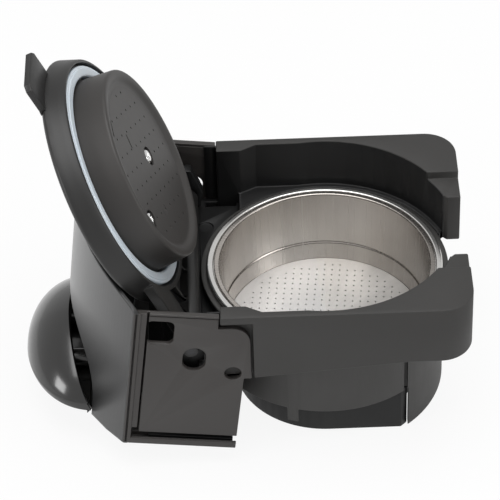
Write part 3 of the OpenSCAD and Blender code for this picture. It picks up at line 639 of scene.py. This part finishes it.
def dome_grip():
    """A quarter of an egg shape, hollow from behind: x = -a sin^k t, and its section is the curve
    (b cos^k t cos^e u, c cos^k t sin^e u) closed by a flat foot. Its rim is where x reaches a
    plane that leans forward, and t for every point of the rim is found by halving."""
    u = np.linspace(0.0, np.pi, 121)
    foot = np.linspace(-1.0, 1.0, 26)[1:-1]
    wide = np.concatenate([np.sign(np.cos(u)) * np.abs(np.cos(u)) ** DOME_SQUARE, foot])
    tall = np.concatenate([np.sin(u) ** DOME_SQUARE, 0.0 * foot])

    def lean(height):
        return RIM_LEAN[0] + (RIM_LEAN[1] - RIM_LEAN[0]) * height / DOME_H

    def shell(inset, lift, shares):
        a, b, c = DOME_REACH - inset, DOME_HALF - inset, DOME_H - inset - lift
        low, high = np.zeros_like(wide), np.full_like(wide, np.pi / 2)
        for _ in range(30):
            middle = (low + high) / 2
            height = lift + c * np.cos(middle) ** DOME_BLUNT * tall
            short = a * np.sin(middle) ** DOME_BLUNT < lean(height)
            low, high = np.where(short, middle, low), np.where(short, high, middle)
        t = high[None] + (np.pi / 2 - high[None]) * shares[:, None]
        ring = np.maximum(np.cos(t), 0.0) ** DOME_BLUNT
        behind = np.where(high < 0.01, lean(lift + c * tall), 0.0)
        x = -a * np.sin(t) ** DOME_BLUNT - behind * (1.0 - shares[:, None])
        return np.stack([x, b * ring * wide, lift + c * ring * tall], -1)

    shares = np.linspace(0.0, 1.0, 34)
    outer, inner = shell(0.0, 0.0, shares), shell(DOME_WALL, DOME_WALL * 0.5, shares[:9])
    lip = (outer[:1] + inner[:1]) / 2 + (0.25, 0.0, 0.0)
    rows = np.concatenate([outer[::-1], lip, inner])
    count, turns = rows.shape[:2]
    index = np.arange(count * turns).reshape(count, turns)
    around = np.roll(index, -1, 1)
    quads = np.stack([index[:-1], around[:-1], around[1:], index[1:]], -1).reshape(-1, 4)
    back = np.stack([np.full(turns, count * turns), around[-1], index[-1]], 1)
    points = np.concatenate([rows.reshape(-1, 3), inner[-1].mean(0, keepdims=True)])
    return points + (DOME_AT[0], 0.0, DOME_AT[1]), [quads, back], None


BOSS_Y, BOSS_Z, BOSS_R, BOSS_SIDES = 11.0, -40.7, 3.2, 40
BOSS_FRONT, SCOOP_BACK, BOSS_EASE = -86.0, -66.2, 0.3


def boss(y):
    """A round post from the dome's back to the scoop's back: (x, y + r cos a, z + r sin a)."""
    a = np.linspace(0.0, 2.0 * np.pi, BOSS_SIDES, endpoint=False)
    rows = np.stack([np.stack([np.full_like(a, x), y + r * np.cos(a), BOSS_Z + r * np.sin(a)], -1)
                     for x, r in ((BOSS_FRONT, BOSS_R), (SCOOP_BACK - BOSS_EASE, BOSS_R),
                                  (SCOOP_BACK, BOSS_R - BOSS_EASE))])
    index = np.arange(rows.shape[0] * BOSS_SIDES).reshape(-1, BOSS_SIDES)
    around = np.roll(index, -1, 1)
    quads = np.stack([index[:-1], around[:-1], around[1:], index[1:]], -1).reshape(-1, 4)
    ends = np.array([[BOSS_FRONT, y, BOSS_Z], [SCOOP_BACK, y, BOSS_Z]])
    front = np.stack([np.full(BOSS_SIDES, index.size), index[0], around[0]], 1)
    back = np.stack([np.full(BOSS_SIDES, index.size + 1), around[-1], index[-1]], 1)
    return np.concatenate([rows.reshape(-1, 3), ends]), [quads, front, back], None


stands_for(new_piece("curved_front", curved_front(), on_curved_front), "fascia")
dome_parts = joined([dome_grip(), boss(-BOSS_Y), boss(BOSS_Y)])
dome = stands_for(merged(new_piece("dome_shell", dome_parts, in_front)), "dome_grip")
dome.data.shade_smooth()
dome.data.set_sharp_from_angle(angle=np.radians(40.0))

# A floor at the scoop's foot, from the dome's back to a bowed edge.
SILL_BACK, SILL_FRONT, SILL_BOW, SILL_HALF = -79.0, -79.2, 12.2, 33.4
SILL_LOW, SILL_TOP = -46.3, -45.1
share = np.linspace(-1.0, 1.0, 41)
sill_rear = np.stack([SILL_BACK + SILL_BOW * (1.0 - share ** 2), SILL_HALF * share], -1)
sill_front = np.stack([np.full(21, SILL_FRONT), SILL_HALF * share[::-2]], -1)
sill = rounded_plate(np.concatenate([sill_rear, sill_front]), SILL_LOW, SILL_TOP, 0.2)
new_trim(new_piece("scoop_sill", sill, in_front), "inner_plastic", "grip_recess")

# Thin webs behind the seams between side plate and arm.
SEAM = np.array([(-40.8, 43.8), (-36.52, 43.8), (-36.52, 44.55), (-40.8, 44.55)])
SEAM_LOW, SEAM_TOP = -5.5, 17.6
for name, side in (("seam_web_near", -1.0), ("seam_web_far", 1.0)):
    web = rounded_plate(SEAM * (1.0, side), SEAM_LOW, SEAM_TOP, 0.15)
    new_trim(new_piece(name, web), "inner_plastic", "deck")

# ---------------------------------------------------------------- basket, rim and strainer

BASKET_WALL = ([(36.6, 0), (38.48, 0), (38.48, -1.1), (37.4, -1.1), (36.4, -21.1), (35.9, -21.7),
                (35.3, -29.6), (31, -29.6), (31, -28.8), (34.5, -28.8), (35.1, -21.7), (35.6, -21.1)],
               [0.6, 0.5, 0.1, 0.3, 0.2, 0.3, 1.0, 0.1, 0.1, 0.7, 0.25, 0.3])
RIM_BEAD = ([(37.5, -1.75), (41, -1.75), (41, 0), (38.72, 0), (38.72, -1.1), (37.5, -1.1)],
            [0.1, 0.5, 0.9, 0.6, 0.1, 0.1])
STRAINER_R, STRAINER_LOW, STRAINER_TOP = 34.4, -28.8, -28.3
STRAINER_PITCH, STRAINER_TURN = 2.75, np.radians(-6.0)
STRAINER_HOLE, STRAINER_FIELD, STRAINER_MIDDLE = 0.3, 31.0, (0.9, 0.4)

stands_for(new_piece("basket_shell", turned(*BASKET_WALL)), "filter_basket")
stands_for(new_piece("rim_bead", turned(*RIM_BEAD)), "rim_ring")

cosine, sine = np.cos(STRAINER_TURN) * STRAINER_PITCH, np.sin(STRAINER_TURN) * STRAINER_PITCH
spots = lattice((cosine, sine), (-sine, cosine), STRAINER_MIDDLE, STRAINER_FIELD)
holes = [circle(STRAINER_HOLE, 8, spot) for spot in spots]
disc = pierced_plate(circle(STRAINER_R, 128), holes, STRAINER_LOW, STRAINER_TOP)
sieve = stands_for(new_piece("sieve", disc), "strainer")
sieve.data.materials.clear()
sieve.data.materials.append(STRAINER_STEEL)

# ---------------------------------------------------------------- brewing piston, seal and screws

FACE_R, FACE_LOW, FACE_TOP, WELL_TOP = 27.6, -9.2, -8.5, -7.6
FACE_EDGE = FACE_R - 0.02
SCREW_WELLS = [(0.0, 4.1), (-2.3, -26.7)]
WELL_R = 3.4
PISTON_SHELL = ([(2, 2.6), (34.5, 2.6), (34.5, 1.0), (33.6, -10.6), (31.4, -10.6), (29.2, FACE_LOW),
                 (FACE_EDGE, FACE_LOW), (FACE_EDGE, WELL_TOP), (2, WELL_TOP)],
                [0.1, 0.5, 0.4, 1.1, 1.0, 0.8, 0.1, 0.1, 0.1])
SEAL_PROFILE = ([(35.25, 0.45), (35.75, 0), (38.2, 0), (38.4, 0.3), (39.0, 0.3), (39.35, 0.65),
                 (39.35, 2.6), (35.25, 2.6)],
                [0.25, 0.3, 0.14, 0.12, 0.2, 0.25, 0.3, 0.1])

wells = [circle(WELL_R, 48, spot) for spot in SCREW_WELLS]
marks = [stadium((26.9, -7.4), (24.4, -12.2), 0.8), stadium((16.0, -2.5), (12.0, -4.6), 0.7)]
shower = lattice((6.82, -0.18), (3.05, -5.53), (6.0, 5.15), 26.6)
clear = np.array([[0.0, 4.1, 5.0], [-2.3, -26.7, 5.0], [25.6, -9.8, 3.0], [14.0, -3.5, 2.2]])
gaps = np.linalg.norm(shower[:, None] - clear[None, :, :2], axis=2)
shower = [circle(0.42, 10, spot) for spot in shower[(gaps > clear[:, 2]).all(1)]]
face = pierced_plate(circle(FACE_R, 192), wells + marks + shower, FACE_LOW, FACE_TOP)
ring_low, ring_top = FACE_LOW - 0.08, FACE_LOW + 0.1
ring = turned([(1.75, ring_low), (2.05, ring_low), (2.05, ring_top), (1.75, ring_top)], 0.06, 48, 2)
ring = (ring[0] + (-11.3, -12.0, 0.0), *ring[1:])
piston = joined([turned(*PISTON_SHELL, 256), face, ring])
stands_for(new_piece("shower_piston", piston, on_open_lid), "brew_piston")
stands_for(new_piece("seal_lips", turned(*SEAL_PROFILE, 256), on_open_lid), "seal_ring")

pair = joined([screw((x, y, WELL_TOP), 10.2) for x, y in SCREW_WELLS])
stands_for(new_piece("piston_screw_pair", pair, on_open_lid), "piston_screws")
pair = joined([screw((-52.0, y, -39.4), 29.0) for y in (-33.0, 33.0)])
stands_for(new_piece("cover_screw_pair", pair), "cover_screws")
trio = joined([screw((19 * np.cos(a), 19 * np.sin(a), -34.8), 3.8)
               for a in np.radians([60.0, 180.0, 300.0])])
stands_for(new_piece("base_screw_trio", trio), "holder_screws")

# ---------------------------------------------------------------- floor, light and camera


def floor_finish():
    """A plain pale floor; to the camera it is nearly white and the shadow on it is faint."""
    material, tree, place = new_finish("pale_floor")
    seen = add_node(tree, "ShaderNodeLightPath", output="Is Camera Ray")
    shine = add_node(tree, "ShaderNodeLightPath", output="Is Glossy Ray")
    matt = add_node(tree, "ShaderNodeBsdfDiffuse", None, {"Color": (0.86, 0.86, 0.86, 1.0)})
    white = add_node(tree, "ShaderNodeEmission", None, {"Color": (1.0, 1.0, 1.0, 1.0), "Strength": 1.0})
    mix = add_node(tree, "ShaderNodeMixShader", None, {0: seen * 0.9 + shine * 0.55, 1: matt, 2: white})
    add_node(tree, "ShaderNodeOutputMaterial", None, {"Surface": mix})
    return material


def plane(name, half, height):
    """A square stage floor at a height."""
    mesh = bpy.data.meshes.new(name)
    mesh.from_pydata([(-half, -half, height), (half, -half, height), (half, half, height),
                      (-half, half, height)], [], [(0, 1, 2, 3)])
    floor = bpy.data.objects.new(name, mesh)
    bpy.context.scene.collection.objects.link(floor)
    mesh.materials.append(floor_finish())


plane("floor", 6.0, 0.0)


def lamp(name, place, aim, size, power):
    """A square soft box at a place that shines towards a point."""
    light = bpy.data.lights.new(name, "AREA")
    light.shape = "RECTANGLE"
    light.size = light.size_y = size
    light.energy = power
    box = bpy.data.objects.new(name, light)
    box.location = place
    box.rotation_euler = (Vector(aim) - Vector(place)).to_track_quat("-Z", "Y").to_euler()
    bpy.context.scene.collection.objects.link(box)


UNIT_MIDDLE = (0.0, 0.0, 0.06)
lamp("overhead", (0.0, -0.1, 1.25), UNIT_MIDDLE, 1.1, 13)
lamp("left_box", (-0.95, -0.5, 0.42), UNIT_MIDDLE, 0.42, 4.0)
lamp("right_box", (1.0, -0.55, 0.5), UNIT_MIDDLE, 0.5, 3.5)


def studio_world():
    """An even white surround, plain in the light it gives and white behind the unit."""
    world = bpy.data.worlds.new("studio")
    bpy.context.scene.world = world
    world.use_nodes = True
    tree = world.node_tree
    tree.nodes.clear()
    rays = add_node(tree, "ShaderNodeLightPath", output="Is Camera Ray")
    shine = add_node(tree, "ShaderNodeLightPath", output="Is Glossy Ray")
    level = 0.3 + rays * 0.7 + shine * 0.4
    sky = add_node(tree, "ShaderNodeBackground", None,
                   {"Color": (1.0, 1.0, 1.0, 1.0), "Strength": level})
    add_node(tree, "ShaderNodeOutputWorld", None, {"Surface": sky})


studio_world()

CAMERA_AT = Vector(in_unit((-27.7, -721.8, 625.7)))
CAMERA_LOOKS = Vector((0.0021, 0.7589, -0.6512))
CAMERA_UP = Vector((0.036, 0.6508, 0.7584))
FOCAL_PX = 2753.0
FRAME_PX = 500.0
SENSOR_MM = 36.0


def set_camera():
    eye = bpy.data.cameras.new("camera")
    eye.sensor_width = SENSOR_MM
    eye.lens = FOCAL_PX / FRAME_PX * SENSOR_MM
    eye.clip_end = 20.0
    camera = bpy.data.objects.new("camera", eye)
    right = CAMERA_LOOKS.cross(CAMERA_UP).normalized()
    up = right.cross(CAMERA_LOOKS).normalized()
    turn = Matrix((right, up, -CAMERA_LOOKS.normalized())).transposed()
    camera.matrix_world = Matrix.Translation(CAMERA_AT) @ turn.to_4x4()
    bpy.context.scene.collection.objects.link(camera)
    bpy.context.scene.camera = camera


set_camera()
bpy.context.scene.view_settings.view_transform = "Standard"
